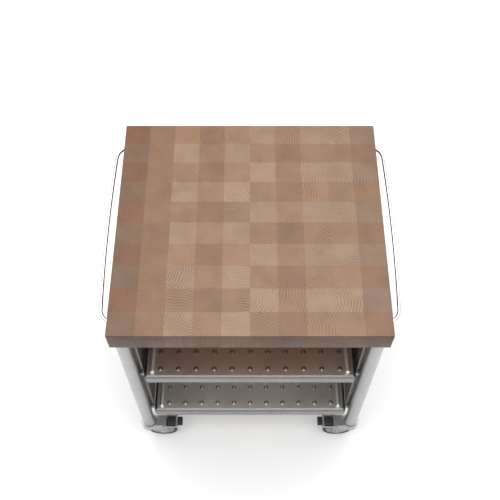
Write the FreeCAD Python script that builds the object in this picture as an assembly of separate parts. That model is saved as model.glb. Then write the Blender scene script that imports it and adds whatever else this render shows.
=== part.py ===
import FreeCAD, Part
import math
import os

# Kitchen island cart in millimetres.
# Frame: +Z up, +X to the right and +Y to the back as seen from the front.
# Origin: on the floor, under the centre of the butcher block.

V = FreeCAD.Vector

# ---------------------------------------------------------------- driving dimensions
TOP_WIDTH = 760.0
TOP_DEPTH = 706.0
TOP_THICKNESS = 75.0
HEIGHT = 890.0
TOP_EDGE_EASE = 2.0

LEG_DIAMETER = 41.3
LEG_WALL = 1.5
LEG_INSET = 28.0          # leg axis, in from both edges of the block

WHEEL_DIAMETER = 100.0
WHEEL_WIDTH = 30.0
CASTER_TRAIL = 43.5       # wheel axle, out from the swivel axis

SHELF_WIDTH = 643.0
SHELF_DEPTH = 668.0
SHELF_SKIRT = 38.0
UPPER_SHELF_Z = 540.0     # top face of the sheet
LOWER_SHELF_Z = 235.0
SHELF_SHEET = 2.0

HANDLE_ROD = 10.0
HANDLE_STAND_OFF = 32.0   # rod axis, out from the block's side at mid-span
HANDLE_BOW_RADIUS = 5464.0
HANDLE_BEND = 40.0        # radius of each end's bend
HANDLE_BEND_Y = 256.0     # centre of that bend, from the middle of the side

# ---------------------------------------------------------------- worked out from them
TOP_UNDER = HEIGHT - TOP_THICKNESS
HANDLE_Z = HEIGHT - TOP_THICKNESS / 2
LEG_RADIUS = LEG_DIAMETER / 2
LEG_X = TOP_WIDTH / 2 - LEG_INSET
LEG_Y = TOP_DEPTH / 2 - LEG_INSET
WHEEL_RADIUS = WHEEL_DIAMETER / 2
FIT = 0.06                # radial running clearance of pins and stems
GAP = 0.3                 # between faces that move past each other
TOUCH = 0.05              # between fixed neighbours that only meet

PLATE = 4.0               # leg plate thickness
PLATE_LENGTH = 80.0
PLATE_ROUND = 5.0
LEG_TOP = TOP_UNDER - PLATE

CUP_BOTTOM = WHEEL_DIAMETER + 14.0
CUP_FLOOR = 6.0
CUP_WALL_HEIGHT = 8.0
CUP_RADIUS = 22.3
CUP_ROUND = 2.0
CUP_LIP_ROUND = 0.8
PLUG_HEIGHT = 26.0
LEG_BOTTOM = CUP_BOTTOM + CUP_FLOOR

STEM_RADIUS = 6.0
STEM_LENGTH = 30.0
RACE_RADIUS = 20.0
KING_PIN_RADIUS = 5.0
RIVET_RADIUS = 8.0
RIVET_HEIGHT = 3.0

YOKE_SHEET = 2.5
YOKE_INNER = WHEEL_WIDTH / 2 + 1.5
YOKE_OUTER = YOKE_INNER + YOKE_SHEET
CROWN_TOP = WHEEL_DIAMETER + 9.0
CROWN_UNDER = CROWN_TOP - YOKE_SHEET
CROWN_RADIUS = 28.0
CROWN_ROUND = 2.0
HOOD_DROP = 25.0          # from the crown's top down to the hood's lower edge
HOOD_REACH = 6.0          # how far the hood runs past the swivel axis towards the wheel
CHEEK_BOSS = 16.0         # round of the cheek about the axle
CHEEK_FRONT = -16.0
CHEEK_WAIST_U = 4.0       # the point that the cheek's leading edge curves through
CHEEK_WAIST_Z = 62.0
FORK_REAR = CASTER_TRAIL + CHEEK_BOSS
AXLE_RADIUS = 5.0
AXLE_HEAD_RADIUS = 8.0
AXLE_HEAD_HEIGHT = 3.5
AXLE_HEAD_ROUND = 2.0
NUT_ACROSS_FLATS = 13.0
NUT_HEIGHT = 4.5

HUB_RADIUS = 39.0
HUB_INSET = 1.0           # hub's face, in from the tyre's
HUB_RECESS = 5.0
HUB_BOSS_RADIUS = 10.0
HUB_RIM = 3.5
TYRE_SHOULDER = 4.0

LEVER_SHEET = 2.0
LEVER_PIVOT_U = CASTER_TRAIL + 8.5
LEVER_PIVOT_Z = WHEEL_DIAMETER - 4.0
LEVER_PIN_RADIUS = 3.0
LEVER_PIN_HEAD = 4.5
LEVER_EYE = 7.0           # round of the arm about its pivot
LEVER_DEPTH = 12.0        # height of each arm
STRIP_WIDTH = 6.0
STRIP_U = CASTER_TRAIL + WHEEL_DIAMETER / 2 - 1.5
STRIP_TOP = WHEEL_DIAMETER + 7.0
PAD_START = FORK_REAR + 1.5
PAD_LENGTH = 55.0
PAD_WIDTH = 31.0
PAD_HEIGHT = 8.0
PAD_ROUND = 6.0
PAD_EDGE_ROUND = 1.5

PANEL_SHEET = 1.5
PANEL_OUTER_X = 326.0     # outer face of the web
PANEL_BOTTOM = LOWER_SHELF_Z - SHELF_SKIRT
PANEL_HALF_DEPTH = LEG_Y - LEG_RADIUS - TOUCH
PANEL_FLANGE = LEG_X - PANEL_OUTER_X

SHELF_EDGE_ROUND = 10.0
GROOVE_HEIGHT = 5.0
GROOVE_DEPTH = 1.0
GROOVE_DROP = 17.0        # from the sheet's top face down to the groove
DIMPLE_COLUMNS = 11
DIMPLE_ROWS = 12
DIMPLE_RADIUS = 7.5
DIMPLE_RISE = 2.0
DIMPLE_PITCH_X = 54.4
DIMPLE_PITCH_Y = 55.3

BEAD_RADIUS = 6.5
BEAD_END_ROUND = 4.0
BEAD_X = 296.0
BEAD_SET_BACK = 14.0      # from the shelf's front and rear edges

SPACER_RADIUS = 5.0
SPACER_Y = LEG_Y - 14.0
SPACER_DROP = 22.0        # below the shelf's top face

SCREW_RADIUS = 2.2
SCREW_LENGTH = 30.0
SCREW_HEAD_RADIUS = 4.5
SCREW_HEAD_HEIGHT = 2.5
SCREW_HEAD_ROUND = 1.5
PLATE_SCREWS = ((32.0, -10.0), (32.0, 10.0), (52.0, 0.0))   # inwards of the leg, and along Y
PANEL_SCREW_Y = (-220.0, 0.0, 220.0)
PANEL_SCREW_X = PANEL_OUTER_X + PANEL_FLANGE / 2

ROSETTE_RADIUS = 11.0
ROSETTE_HEIGHT = 4.0
ROSETTE_ROUND = 1.6
STUD_RADIUS = 3.0
STUD_LENGTH = 25.0

CORNERS = {
    "front_left": (-1, -1),
    "front_right": (1, -1),
    "rear_left": (-1, 1),
    "rear_right": (1, 1),
}


# ---------------------------------------------------------------- helpers
def box(x0, x1, y0, y1, z0, z1):
    """Box between two corners, given in any order along each axis."""
    low = V(min(x0, x1), min(y0, y1), min(z0, z1))
    return Part.makeBox(abs(x1 - x0), abs(y1 - y0), abs(z1 - z0), low)


def rod(radius, start, end):
    """Round bar between two points."""
    axis = end.sub(start)
    return Part.makeCylinder(radius, axis.Length, start, axis)


def upright(radius, x, y, z0, z1):
    """Round bar along Z."""
    return rod(radius, V(x, y, z0), V(x, y, z1))


def across(radius, u, z, v0, v1):
    """Round bar along Y, at (u, z) of a caster."""
    return rod(radius, V(u, v0, z), V(u, v1, z))


def edges_at(shape, test):
    """The edges whose whole length passes the test."""
    return [edge for edge in shape.Edges if all(test(vertex.Point) for vertex in edge.Vertexes)]


def upright_edges(shape):
    """The straight edges that stand along Z."""
    return [edge for edge in shape.Edges if abs(edge.tangentAt(edge.FirstParameter).z) > 0.9]


def save(name, shape):
    """Writes one node's STEP file."""
    shape.exportStep(os.path.join("parts", name + ".step"))


def place_caster(shape, side_x, side_y):
    """Moves a caster piece, modelled trailing along +X, under its leg and trailing inwards."""
    placed = shape.copy()
    if side_x > 0:
        placed.rotate(V(0, 0, 0), V(0, 0, 1), 180)
    placed.translate(V(side_x * LEG_X, side_y * LEG_Y, 0))
    return placed


# ---------------------------------------------------------------- butcher block and screws
def screw_places():
    """(x, y, z of the head's seat) of every wood screw under the block."""
    places = []
    for side_x, side_y in CORNERS.values():
        for inwards, along in PLATE_SCREWS:
            places.append((side_x * (LEG_X - inwards), side_y * LEG_Y + along, LEG_TOP))
    for side_x in (-1, 1):
        for y in PANEL_SCREW_Y:
            places.append((side_x * PANEL_SCREW_X, y, TOP_UNDER - PANEL_SHEET))
    return places


def screw(x, y, seat):
    """Pan-head wood screw with its head below the seat."""
    head_bottom = seat - SCREW_HEAD_HEIGHT
    head = upright(SCREW_HEAD_RADIUS, x, y, head_bottom, seat)
    head = head.makeFillet(SCREW_HEAD_ROUND, edges_at(head, lambda p: p.z < head_bottom + 0.1))
    return head.fuse(upright(SCREW_RADIUS, x, y, seat, seat + SCREW_LENGTH))


def top_screws():
    """All the wood screws, as separate solids."""
    return Part.makeCompound([screw(x, y, seat) for x, y, seat in screw_places()])


def butcher_block_top():
    """The slab, with its eased edges and the holes for the screws and the handles' studs."""
    slab = box(-TOP_WIDTH / 2, TOP_WIDTH / 2, -TOP_DEPTH / 2, TOP_DEPTH / 2, TOP_UNDER, HEIGHT)
    slab = slab.makeFillet(TOP_EDGE_EASE, slab.Edges)
    holes = []
    for x, y, seat in screw_places():
        holes.append(upright(SCREW_RADIUS + TOUCH, x, y, TOP_UNDER - 1, seat + SCREW_LENGTH + 1))
    for side, y in handle_ends():
        outside = V(side * (TOP_WIDTH / 2 + 1), y, HANDLE_Z)
        holes.append(rod(STUD_RADIUS + TOUCH, outside, outside - V(side * (STUD_LENGTH + 2), 0, 0)))
    return slab.cut(holes)


# ---------------------------------------------------------------- legs
def leg(side_x, side_y):
    """Stainless tube."""
    x, y = side_x * LEG_X, side_y * LEG_Y
    tube = upright(LEG_RADIUS, x, y, LEG_BOTTOM, LEG_TOP)
    return tube.cut(upright(LEG_RADIUS - LEG_WALL, x, y, LEG_BOTTOM, LEG_TOP))


def leg_plate(side_x, side_y):
    """Plate on the leg's top, with its screw holes."""
    x, y = side_x * LEG_X, side_y * LEG_Y
    outer = x + side_x * LEG_RADIUS
    half = LEG_RADIUS - TOUCH
    plate = box(outer, outer - side_x * PLATE_LENGTH, y - half, y + half, LEG_TOP, TOP_UNDER)
    plate = plate.makeFillet(PLATE_ROUND, upright_edges(plate))
    holes = []
    for inwards, along in PLATE_SCREWS:
        hole_x = x - side_x * inwards
        holes.append(upright(SCREW_RADIUS + GAP, hole_x, y + along, LEG_TOP - 1, TOP_UNDER + 1))
    return plate.cut(holes)


def leg_cup(side_x, side_y):
    """Rounded cup on the leg's end, with a plug inside the tube, bored for the caster's stem."""
    x, y = side_x * LEG_X, side_y * LEG_Y
    lip_z = LEG_BOTTOM + CUP_WALL_HEIGHT
    plug_z = LEG_BOTTOM + PLUG_HEIGHT
    cup = upright(CUP_RADIUS, x, y, CUP_BOTTOM, lip_z)
    cup = cup.makeFillet(CUP_ROUND, edges_at(cup, lambda p: p.z < CUP_BOTTOM + 0.1))
    cup = cup.makeFillet(CUP_LIP_ROUND, edges_at(cup, lambda p: p.z > lip_z - 0.1))
    cup = cup.cut(upright(LEG_RADIUS + TOUCH, x, y, LEG_BOTTOM, lip_z))
    cup = cup.fuse(upright(LEG_RADIUS - LEG_WALL - TOUCH, x, y, LEG_BOTTOM, plug_z))
    return cup.cut(upright(STEM_RADIUS + TOUCH, x, y, CUP_BOTTOM, plug_z))


# ---------------------------------------------------------------- side panels
def side_panel(side_x):
    """Folded sheet: a web, two flanges out to the legs, one under the block and one at the foot."""
    inner = side_x * (PANEL_OUTER_X - PANEL_SHEET)
    outer = side_x * PANEL_OUTER_X
    edge = side_x * (PANEL_OUTER_X + PANEL_FLANGE)
    end = PANEL_HALF_DEPTH
    low, high = PANEL_BOTTOM, TOP_UNDER
    web = box(inner, outer, -end, end, low, high)
    flanges = [
        box(inner, edge, -end, -end + PANEL_SHEET, low, high),
        box(inner, edge, end - PANEL_SHEET, end, low, high),
        box(inner, edge, -end, end, high - PANEL_SHEET, high),
        box(inner, edge, -end, end, low, low + PANEL_SHEET),
    ]
    holes = []
    for y in PANEL_SCREW_Y:
        x = side_x * PANEL_SCREW_X
        holes.append(upright(SCREW_RADIUS + GAP, x, y, high - PANEL_SHEET - 1, high + 1))
    return web.fuse(flanges).cut(holes).removeSplitter()


# ---------------------------------------------------------------- shelves
def dimple_cap(x, y, sheet_top):
    """Low round dome pressed up from the sheet, with its rim sunk a little into it."""
    ball_radius = (DIMPLE_RADIUS ** 2 + DIMPLE_RISE ** 2) / (2 * DIMPLE_RISE)
    centre = V(x, y, sheet_top + DIMPLE_RISE - ball_radius)
    ball = Part.makeSphere(ball_radius, centre)
    reach = DIMPLE_RADIUS + 1
    low = sheet_top - SHELF_SHEET / 4
    return ball.common(box(x - reach, x + reach, y - reach, y + reach, low, sheet_top + DIMPLE_RISE))


def round_top_and_corners(block, radius):
    """Block with its four upright edges and the four edges of its top rounded."""
    bottom = block.BoundBox.ZMin
    return block.makeFillet(radius, upright_edges(block) + edges_at(block, lambda p: p.z > bottom + 1))


def shelf(sheet_top):
    """Tray folded down on all four sides, grooved above its hem, with rows of dimples."""
    half_x = SHELF_WIDTH / 2
    half_y = SHELF_DEPTH / 2
    bottom = sheet_top - SHELF_SKIRT
    tray = box(-half_x, half_x, -half_y, half_y, bottom, sheet_top)
    inside = box(-half_x + SHELF_SHEET, half_x - SHELF_SHEET, -half_y + SHELF_SHEET,
                 half_y - SHELF_SHEET, bottom, sheet_top - SHELF_SHEET)
    tray = round_top_and_corners(tray, SHELF_EDGE_ROUND)
    tray = tray.cut(round_top_and_corners(inside, SHELF_EDGE_ROUND - SHELF_SHEET))
    groove_top = sheet_top - GROOVE_DROP
    for end in (-1, 1):
        tray = tray.cut(box(-half_x, half_x, end * half_y, end * (half_y - GROOVE_DEPTH),
                            groove_top - GROOVE_HEIGHT, groove_top))
    caps = []
    for column in range(DIMPLE_COLUMNS):
        x = (column - (DIMPLE_COLUMNS - 1) / 2) * DIMPLE_PITCH_X
        for row in range(DIMPLE_ROWS):
            y = (row - (DIMPLE_ROWS - 1) / 2) * DIMPLE_PITCH_Y
            caps.append(dimple_cap(x, y, sheet_top))
    return tray.fuse(caps)


def shelf_bead(side_x, sheet_top):
    """Round side bead lying on the sheet, with rounded ends."""
    reach = SHELF_DEPTH / 2 - BEAD_SET_BACK
    z = sheet_top + BEAD_RADIUS
    bead = rod(BEAD_RADIUS, V(side_x * BEAD_X, -reach, z), V(side_x * BEAD_X, reach, z))
    return bead.makeFillet(BEAD_END_ROUND, [edge for edge in bead.Edges if edge.Closed])


def shelf_spacers(sheet_top):
    """Four short bars from the tray's ends to the legs, each fitted to its leg's round."""
    bars = []
    z = sheet_top - SPACER_DROP
    for side_x, side_y in CORNERS.values():
        y = side_y * SPACER_Y
        bar = rod(SPACER_RADIUS, V(side_x * SHELF_WIDTH / 2, y, z), V(side_x * LEG_X, y, z))
        around_leg = upright(LEG_RADIUS, side_x * LEG_X, side_y * LEG_Y, z - LEG_RADIUS, z + LEG_RADIUS)
        bars.append(bar.cut(around_leg).Solids[0])
    return Part.makeCompound(bars)


# ---------------------------------------------------------------- handles
def handle_ends():
    """(side, y) of the four places where a handle meets the block."""
    half_span = HANDLE_BEND_Y + math.sqrt(HANDLE_BEND ** 2 - (TOP_WIDTH / 2 - handle_bend_x()) ** 2)
    return [(side, end * half_span) for side in (-1, 1) for end in (-1, 1)]


def handle_tilt():
    """Angle of the bow where it runs into a bend."""
    return math.asin(HANDLE_BEND_Y / (HANDLE_BOW_RADIUS - HANDLE_BEND))


def handle_bend_x():
    """X of the centre of each bend, which lies inside the block's side."""
    bow_centre = TOP_WIDTH / 2 + HANDLE_STAND_OFF - HANDLE_BOW_RADIUS
    return bow_centre + (HANDLE_BOW_RADIUS - HANDLE_BEND) * math.cos(handle_tilt())


def bend_point(side_x, end, angle):
    """Point of a bend's centre line; the angle is measured from the side's outward normal."""
    x = handle_bend_x() + HANDLE_BEND * math.cos(angle)
    y = HANDLE_BEND_Y + HANDLE_BEND * math.sin(angle)
    return V(side_x * x, end * y, HANDLE_Z)


def handle(side_x):
    """Bowed rod: a bend, a long shallow arc and a bend, ending on the rosettes' faces."""
    tilt = handle_tilt()
    square = math.pi / 2
    middle = (tilt + square) / 2
    peak = V(side_x * (TOP_WIDTH / 2 + HANDLE_STAND_OFF), 0, HANDLE_Z)
    front = [bend_point(side_x, -1, angle) for angle in (square, middle, tilt)]
    rear = [bend_point(side_x, 1, angle) for angle in (tilt, middle, square)]
    path = Part.Wire([
        Part.Arc(*front).toShape(),
        Part.Arc(front[2], peak, rear[0]).toShape(),
        Part.Arc(*rear).toShape(),
    ])
    section = Part.Wire(Part.makeCircle(HANDLE_ROD / 2, front[0], V(1, 0, 0)))
    bar = path.makePipeShell([section], True, False)
    seat = TOP_WIDTH / 2 + ROSETTE_HEIGHT
    return bar.cut(box(0, side_x * seat, -TOP_DEPTH / 2, TOP_DEPTH / 2, TOP_UNDER, HEIGHT))


def handle_rosettes():
    """Four round flanges on the block's sides, each with a stud into the block."""
    rosettes = []
    for side, y in handle_ends():
        face = V(side * TOP_WIDTH / 2, y, HANDLE_Z)
        outer = face + V(side * ROSETTE_HEIGHT, 0, 0)
        flange = rod(ROSETTE_RADIUS, face, outer)
        rim = edges_at(flange, lambda p: abs(p.x) > TOP_WIDTH / 2 + 0.1)
        flange = flange.makeFillet(ROSETTE_ROUND, rim)
        rosettes.append(flange.fuse(rod(STUD_RADIUS, face, face - V(side * STUD_LENGTH, 0, 0))))
    return Part.makeCompound(rosettes)


# ---------------------------------------------------------------- casters, trailing along +X
def caster_stem():
    """Fixed part of the caster: threaded stem, race disc and king pin with its riveted head."""
    race_bottom = CROWN_TOP + GAP
    rivet_top = CROWN_UNDER - GAP
    stem = upright(STEM_RADIUS, 0, 0, CUP_BOTTOM, CUP_BOTTOM + STEM_LENGTH)
    race = upright(RACE_RADIUS, 0, 0, race_bottom, CUP_BOTTOM)
    pin = upright(KING_PIN_RADIUS, 0, 0, rivet_top, race_bottom)
    rivet = upright(RIVET_RADIUS, 0, 0, rivet_top - RIVET_HEIGHT, rivet_top)
    return race.fuse([stem, pin, rivet])


def cheek(side_v):
    """Side plate of the fork, curved in front and square behind, rounded about the axle."""
    ahead = CASTER_TRAIL - CHEEK_BOSS
    low = WHEEL_RADIUS - CHEEK_BOSS
    front_top = V(CHEEK_FRONT, 0, CROWN_TOP)
    rear_top = V(FORK_REAR, 0, CROWN_TOP)
    boss_rear = V(FORK_REAR, 0, WHEEL_RADIUS)
    boss_front = V(ahead, 0, WHEEL_RADIUS)
    outline = Part.Wire([
        Part.LineSegment(front_top, rear_top).toShape(),
        Part.LineSegment(rear_top, boss_rear).toShape(),
        Part.Arc(boss_rear, V(CASTER_TRAIL, 0, low), boss_front).toShape(),
        Part.Arc(boss_front, V(CHEEK_WAIST_U, 0, CHEEK_WAIST_Z), front_top).toShape(),
    ])
    plate = Part.Face(outline).extrude(V(0, YOKE_SHEET, 0))
    plate.translate(V(0, YOKE_INNER if side_v > 0 else -YOKE_OUTER, 0))
    return plate.fuse(lever_pin(side_v))


def lever_pin(side_v):
    """Headed pin on a cheek that the brake lever turns on."""
    cheek_face = YOKE_OUTER - YOKE_SHEET / 2
    head_start = YOKE_OUTER + LEVER_SHEET + 2 * GAP
    head_end = head_start + 3 * GAP
    pin = across(LEVER_PIN_RADIUS, LEVER_PIVOT_U, LEVER_PIVOT_Z, side_v * cheek_face, side_v * head_end)
    head = across(LEVER_PIN_HEAD, LEVER_PIVOT_U, LEVER_PIVOT_Z, side_v * head_start, side_v * head_end)
    return pin.fuse(head)


def crown():
    """Round pressed head about the king pin, with a hood that is open towards the wheel."""
    low = CROWN_TOP - HOOD_DROP
    head = upright(CROWN_RADIUS, 0, 0, low, CROWN_TOP)
    head = head.makeFillet(CROWN_ROUND, edges_at(head, lambda p: p.z > CROWN_TOP - 0.1))
    hollow = upright(CROWN_RADIUS - YOKE_SHEET, 0, 0, low - 1, CROWN_UNDER)
    way_out = box(HOOD_REACH, CROWN_RADIUS + 1, -CROWN_RADIUS - 1, CROWN_RADIUS + 1, low - 1, CROWN_UNDER)
    return head.cut([hollow, way_out])


def caster_yoke():
    """Fork: a hooded crown, a plate back over the wheel and two cheeks with the lever's pins."""
    plate = box(0, FORK_REAR, -YOKE_OUTER, YOKE_OUTER, CROWN_UNDER, CROWN_TOP)
    fork = crown().fuse([plate, cheek(-1), cheek(1)])
    king_pin_hole = upright(KING_PIN_RADIUS + FIT, 0, 0, CROWN_UNDER - 1, CROWN_TOP + 1)
    axle_hole = across(AXLE_RADIUS + TOUCH, CASTER_TRAIL, WHEEL_RADIUS, -YOKE_OUTER - 1, YOKE_OUTER + 1)
    return fork.cut([king_pin_hole, axle_hole]).removeSplitter()


def wheel_axle():
    """Bolt through the cheeks and the hub, with a low domed head in front."""
    head_face = -YOKE_OUTER - AXLE_HEAD_HEIGHT
    shank = across(AXLE_RADIUS, CASTER_TRAIL, WHEEL_RADIUS, -YOKE_OUTER, YOKE_OUTER + NUT_HEIGHT + 1)
    head = across(AXLE_HEAD_RADIUS, CASTER_TRAIL, WHEEL_RADIUS, -YOKE_OUTER, head_face)
    head = head.makeFillet(AXLE_HEAD_ROUND, edges_at(head, lambda p: p.y < head_face + 0.1))
    return shank.fuse(head)


def axle_nut():
    """Hexagon nut behind the rear cheek."""
    corner = NUT_ACROSS_FLATS / math.sqrt(3)
    points = []
    for step in range(7):
        angle = step * math.pi / 3
        points.append(V(CASTER_TRAIL + corner * math.cos(angle), YOKE_OUTER,
                        WHEEL_RADIUS + corner * math.sin(angle)))
    nut = Part.Face(Part.makePolygon(points)).extrude(V(0, NUT_HEIGHT, 0))
    far_side = YOKE_OUTER + NUT_HEIGHT + 1
    return nut.cut(across(AXLE_RADIUS + TOUCH, CASTER_TRAIL, WHEEL_RADIUS, YOKE_OUTER - 1, far_side))


def wheel_hub():
    """Moulded hub: a rim, a web and a bored boss that runs on the axle."""
    half = WHEEL_WIDTH / 2 - HUB_INSET
    web_half = half - HUB_RECESS
    boss_half = YOKE_INNER - GAP
    hub = across(HUB_RADIUS, CASTER_TRAIL, WHEEL_RADIUS, -half, half)
    for side in (-1, 1):
        recess = across(HUB_RADIUS - HUB_RIM, CASTER_TRAIL, WHEEL_RADIUS, side * half, side * web_half)
        hub = hub.cut(recess)
    hub = hub.fuse(across(HUB_BOSS_RADIUS, CASTER_TRAIL, WHEEL_RADIUS, -boss_half, boss_half))
    return hub.cut(across(AXLE_RADIUS + FIT, CASTER_TRAIL, WHEEL_RADIUS, -boss_half, boss_half))


def wheel_tyre():
    """Rubber tread with rounded shoulders, moulded on the hub."""
    half = WHEEL_WIDTH / 2
    tyre = across(WHEEL_RADIUS, CASTER_TRAIL, WHEEL_RADIUS, -half, half)
    tyre = tyre.makeFillet(TYRE_SHOULDER, [edge for edge in tyre.Edges if edge.Closed])
    return tyre.cut(across(HUB_RADIUS, CASTER_TRAIL, WHEEL_RADIUS, -half, half))


def brake_lever():
    """Steel lever: two arms outside the cheeks, joined by a strip across the pad."""
    inner = YOKE_OUTER + GAP
    outer = inner + LEVER_SHEET
    arm_low = LEVER_PIVOT_Z - LEVER_EYE / 2
    pieces = []
    for side in (-1, 1):
        near, far = side * inner, side * outer
        eye = across(LEVER_EYE, LEVER_PIVOT_U, LEVER_PIVOT_Z, near, far)
        arm = box(LEVER_PIVOT_U, STRIP_U + STRIP_WIDTH, near, far, arm_low, arm_low + LEVER_DEPTH)
        post = box(STRIP_U, STRIP_U + STRIP_WIDTH, near, far, arm_low, STRIP_TOP)
        hole = across(LEVER_PIN_RADIUS + FIT, LEVER_PIVOT_U, LEVER_PIVOT_Z, near - side, far + side)
        pieces.append(eye.fuse([arm, post]).cut(hole))
    strip = box(STRIP_U, STRIP_U + STRIP_WIDTH, -outer, outer, STRIP_TOP - LEVER_SHEET, STRIP_TOP)
    return strip.fuse(pieces).removeSplitter()


def brake_pad():
    """Moulded foot pad with rounded far corners, grooved across its top for the lever's strip."""
    low = STRIP_TOP - PAD_HEIGHT
    end = PAD_START + PAD_LENGTH
    pad = box(PAD_START, end, -PAD_WIDTH / 2, PAD_WIDTH / 2, low, STRIP_TOP)
    corners = [edge for edge in upright_edges(pad) if edge.Vertexes[0].X > end - 1]
    pad = pad.makeFillet(PAD_ROUND, corners)
    pad = pad.makeFillet(PAD_EDGE_ROUND, edges_at(pad, lambda p: p.z > STRIP_TOP - 0.1))
    return pad.cut(box(STRIP_U - TOUCH, STRIP_U + STRIP_WIDTH + TOUCH, -PAD_WIDTH, PAD_WIDTH,
                       STRIP_TOP - LEVER_SHEET - TOUCH, STRIP_TOP + 1))


# ---------------------------------------------------------------- all the nodes
CASTER_PIECES = {
    "caster_stem": caster_stem,
    "caster_yoke": caster_yoke,
    "wheel_axle": wheel_axle,
    "axle_nut": axle_nut,
    "wheel_hub": wheel_hub,
    "wheel_tyre": wheel_tyre,
    "brake_lever": brake_lever,
    "brake_pad": brake_pad,
}

os.makedirs("parts", exist_ok=True)

save("butcher_block_top", butcher_block_top())
save("top_screws", top_screws())
save("handle_rosettes", handle_rosettes())

for side_name, side in (("left", -1), ("right", 1)):
    save("side_panel_" + side_name, side_panel(side))
    save("handle_" + side_name, handle(side))

for shelf_name, shelf_z in (("upper_shelf", UPPER_SHELF_Z), ("lower_shelf", LOWER_SHELF_Z)):
    save(shelf_name, shelf(shelf_z))
    save(shelf_name + "_spacers", shelf_spacers(shelf_z))
    save(shelf_name + "_bead_left", shelf_bead(-1, shelf_z))
    save(shelf_name + "_bead_right", shelf_bead(1, shelf_z))

for corner, (side_x, side_y) in CORNERS.items():
    save("leg_" + corner, leg(side_x, side_y))
    save("leg_plate_" + corner, leg_plate(side_x, side_y))
    save("leg_cup_" + corner, leg_cup(side_x, side_y))

for piece_name, make_piece in CASTER_PIECES.items():
    piece = make_piece()
    for corner, (side_x, side_y) in CORNERS.items():
        save(piece_name + "_" + corner, place_caster(piece, side_x, side_y))
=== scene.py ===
import math
import random

import bmesh
import bpy
from mathutils import Matrix, Vector


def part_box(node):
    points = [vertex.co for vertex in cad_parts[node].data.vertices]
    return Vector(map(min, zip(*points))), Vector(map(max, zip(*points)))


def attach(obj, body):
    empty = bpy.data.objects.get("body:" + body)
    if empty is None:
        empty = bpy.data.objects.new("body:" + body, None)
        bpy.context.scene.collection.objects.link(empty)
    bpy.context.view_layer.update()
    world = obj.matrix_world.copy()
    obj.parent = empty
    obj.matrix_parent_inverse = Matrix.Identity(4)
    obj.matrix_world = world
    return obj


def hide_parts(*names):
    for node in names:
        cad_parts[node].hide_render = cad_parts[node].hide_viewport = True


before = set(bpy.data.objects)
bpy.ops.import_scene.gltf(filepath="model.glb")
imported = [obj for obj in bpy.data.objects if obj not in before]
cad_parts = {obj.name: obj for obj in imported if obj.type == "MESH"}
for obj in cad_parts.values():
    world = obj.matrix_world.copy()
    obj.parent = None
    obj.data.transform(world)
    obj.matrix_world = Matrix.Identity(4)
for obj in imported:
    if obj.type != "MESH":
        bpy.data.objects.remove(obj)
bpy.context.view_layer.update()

# Looks of the kitchen island cart. Metres, in the CAD's frame: +X right, +Y back, +Z up.

CORNERS = ("front_left", "front_right", "rear_left", "rear_right")
SIDES = ("left", "right")
MM = 0.001


# ---------------------------------------------------------------- shader helpers
# Sockets of the Mix node that carry its factor and its two colours, and its colour output.
MIX_FACTOR, MIX_A, MIX_B, MIX_RESULT = 0, 6, 7, 2
BEVEL_SAMPLES = 4


class Graph:
    """A material being built: its nodes, its shader and short ways to add and join them."""

    def __init__(self, name):
        self.material = bpy.data.materials.new(name)
        self.material.use_nodes = True
        self.tree = self.material.node_tree
        self.shader = self.tree.nodes["Principled BSDF"]

    def feed(self, socket, value):
        """Links a socket to another, or sets its value."""
        if isinstance(value, bpy.types.NodeSocket):
            self.tree.links.new(value, socket)
        else:
            socket.default_value = value

    def add(self, kind, inputs=(), **settings):
        """Adds a node; inputs are (index or name, value) pairs."""
        node = self.tree.nodes.new("ShaderNode" + kind)
        for key, value in settings.items():
            setattr(node, key, value)
        for key, value in inputs:
            self.feed(node.inputs[key], value)
        return node

    def coords(self, stretch=(1, 1, 1)):
        """Object coordinates in metres, scaled along each axis."""
        source = self.add("TexCoord").outputs["Object"]
        return self.add("Mapping", [("Vector", source), ("Scale", stretch)]).outputs["Vector"]

    def math(self, operation, a, b=0.0):
        """Result of an operation on two numbers or sockets."""
        return self.add("Math", [(0, a), (1, b)], operation=operation).outputs[0]

    def vector(self, operation, a, b=(0, 0, 0)):
        """Result of an operation on two vectors or sockets."""
        return self.add("VectorMath", [(0, a), (1, b)], operation=operation).outputs[0]

    def noise(self, where, scale, detail=3.0, roughness=0.5):
        """Soft noise from 0 to 1; the scale is in cells per metre."""
        inputs = [("Vector", where), ("Scale", scale), ("Detail", detail), ("Roughness", roughness)]
        return self.add("TexNoise", inputs).outputs["Fac"]

    def ramp(self, value, low, high, start=0.0, end=1.0):
        """Maps low..high of a value to start..end, held at both ends."""
        inputs = [("Value", value), ("From Min", low), ("From Max", high),
                  ("To Min", start), ("To Max", end)]
        return self.add("MapRange", inputs, clamp=True).outputs["Result"]

    def mix(self, factor, a, b, blend="MIX"):
        """Mixes two colours."""
        inputs = [(MIX_FACTOR, factor), (MIX_A, a), (MIX_B, b)]
        return self.add("Mix", inputs, data_type="RGBA", blend_type=blend).outputs[MIX_RESULT]

    def bump(self, height, distance, strength=1.0, normal=None):
        """Normal raised by a height of up to a distance in metres."""
        inputs = [("Height", height), ("Distance", distance), ("Strength", strength)]
        if normal is not None:
            inputs.append(("Normal", normal))
        return self.add("Bump", inputs).outputs["Normal"]

    def soft_edges(self, radius):
        """Normal that rounds sharp edges by a radius."""
        return self.add("Bevel", [("Radius", radius)], samples=BEVEL_SAMPLES).outputs["Normal"]

    def surface(self, **values):
        """Sets the shader's sockets, with underscores for spaces."""
        for key, value in values.items():
            self.feed(self.shader.inputs[key.replace("_", " ")], value)
        return self.material


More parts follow.
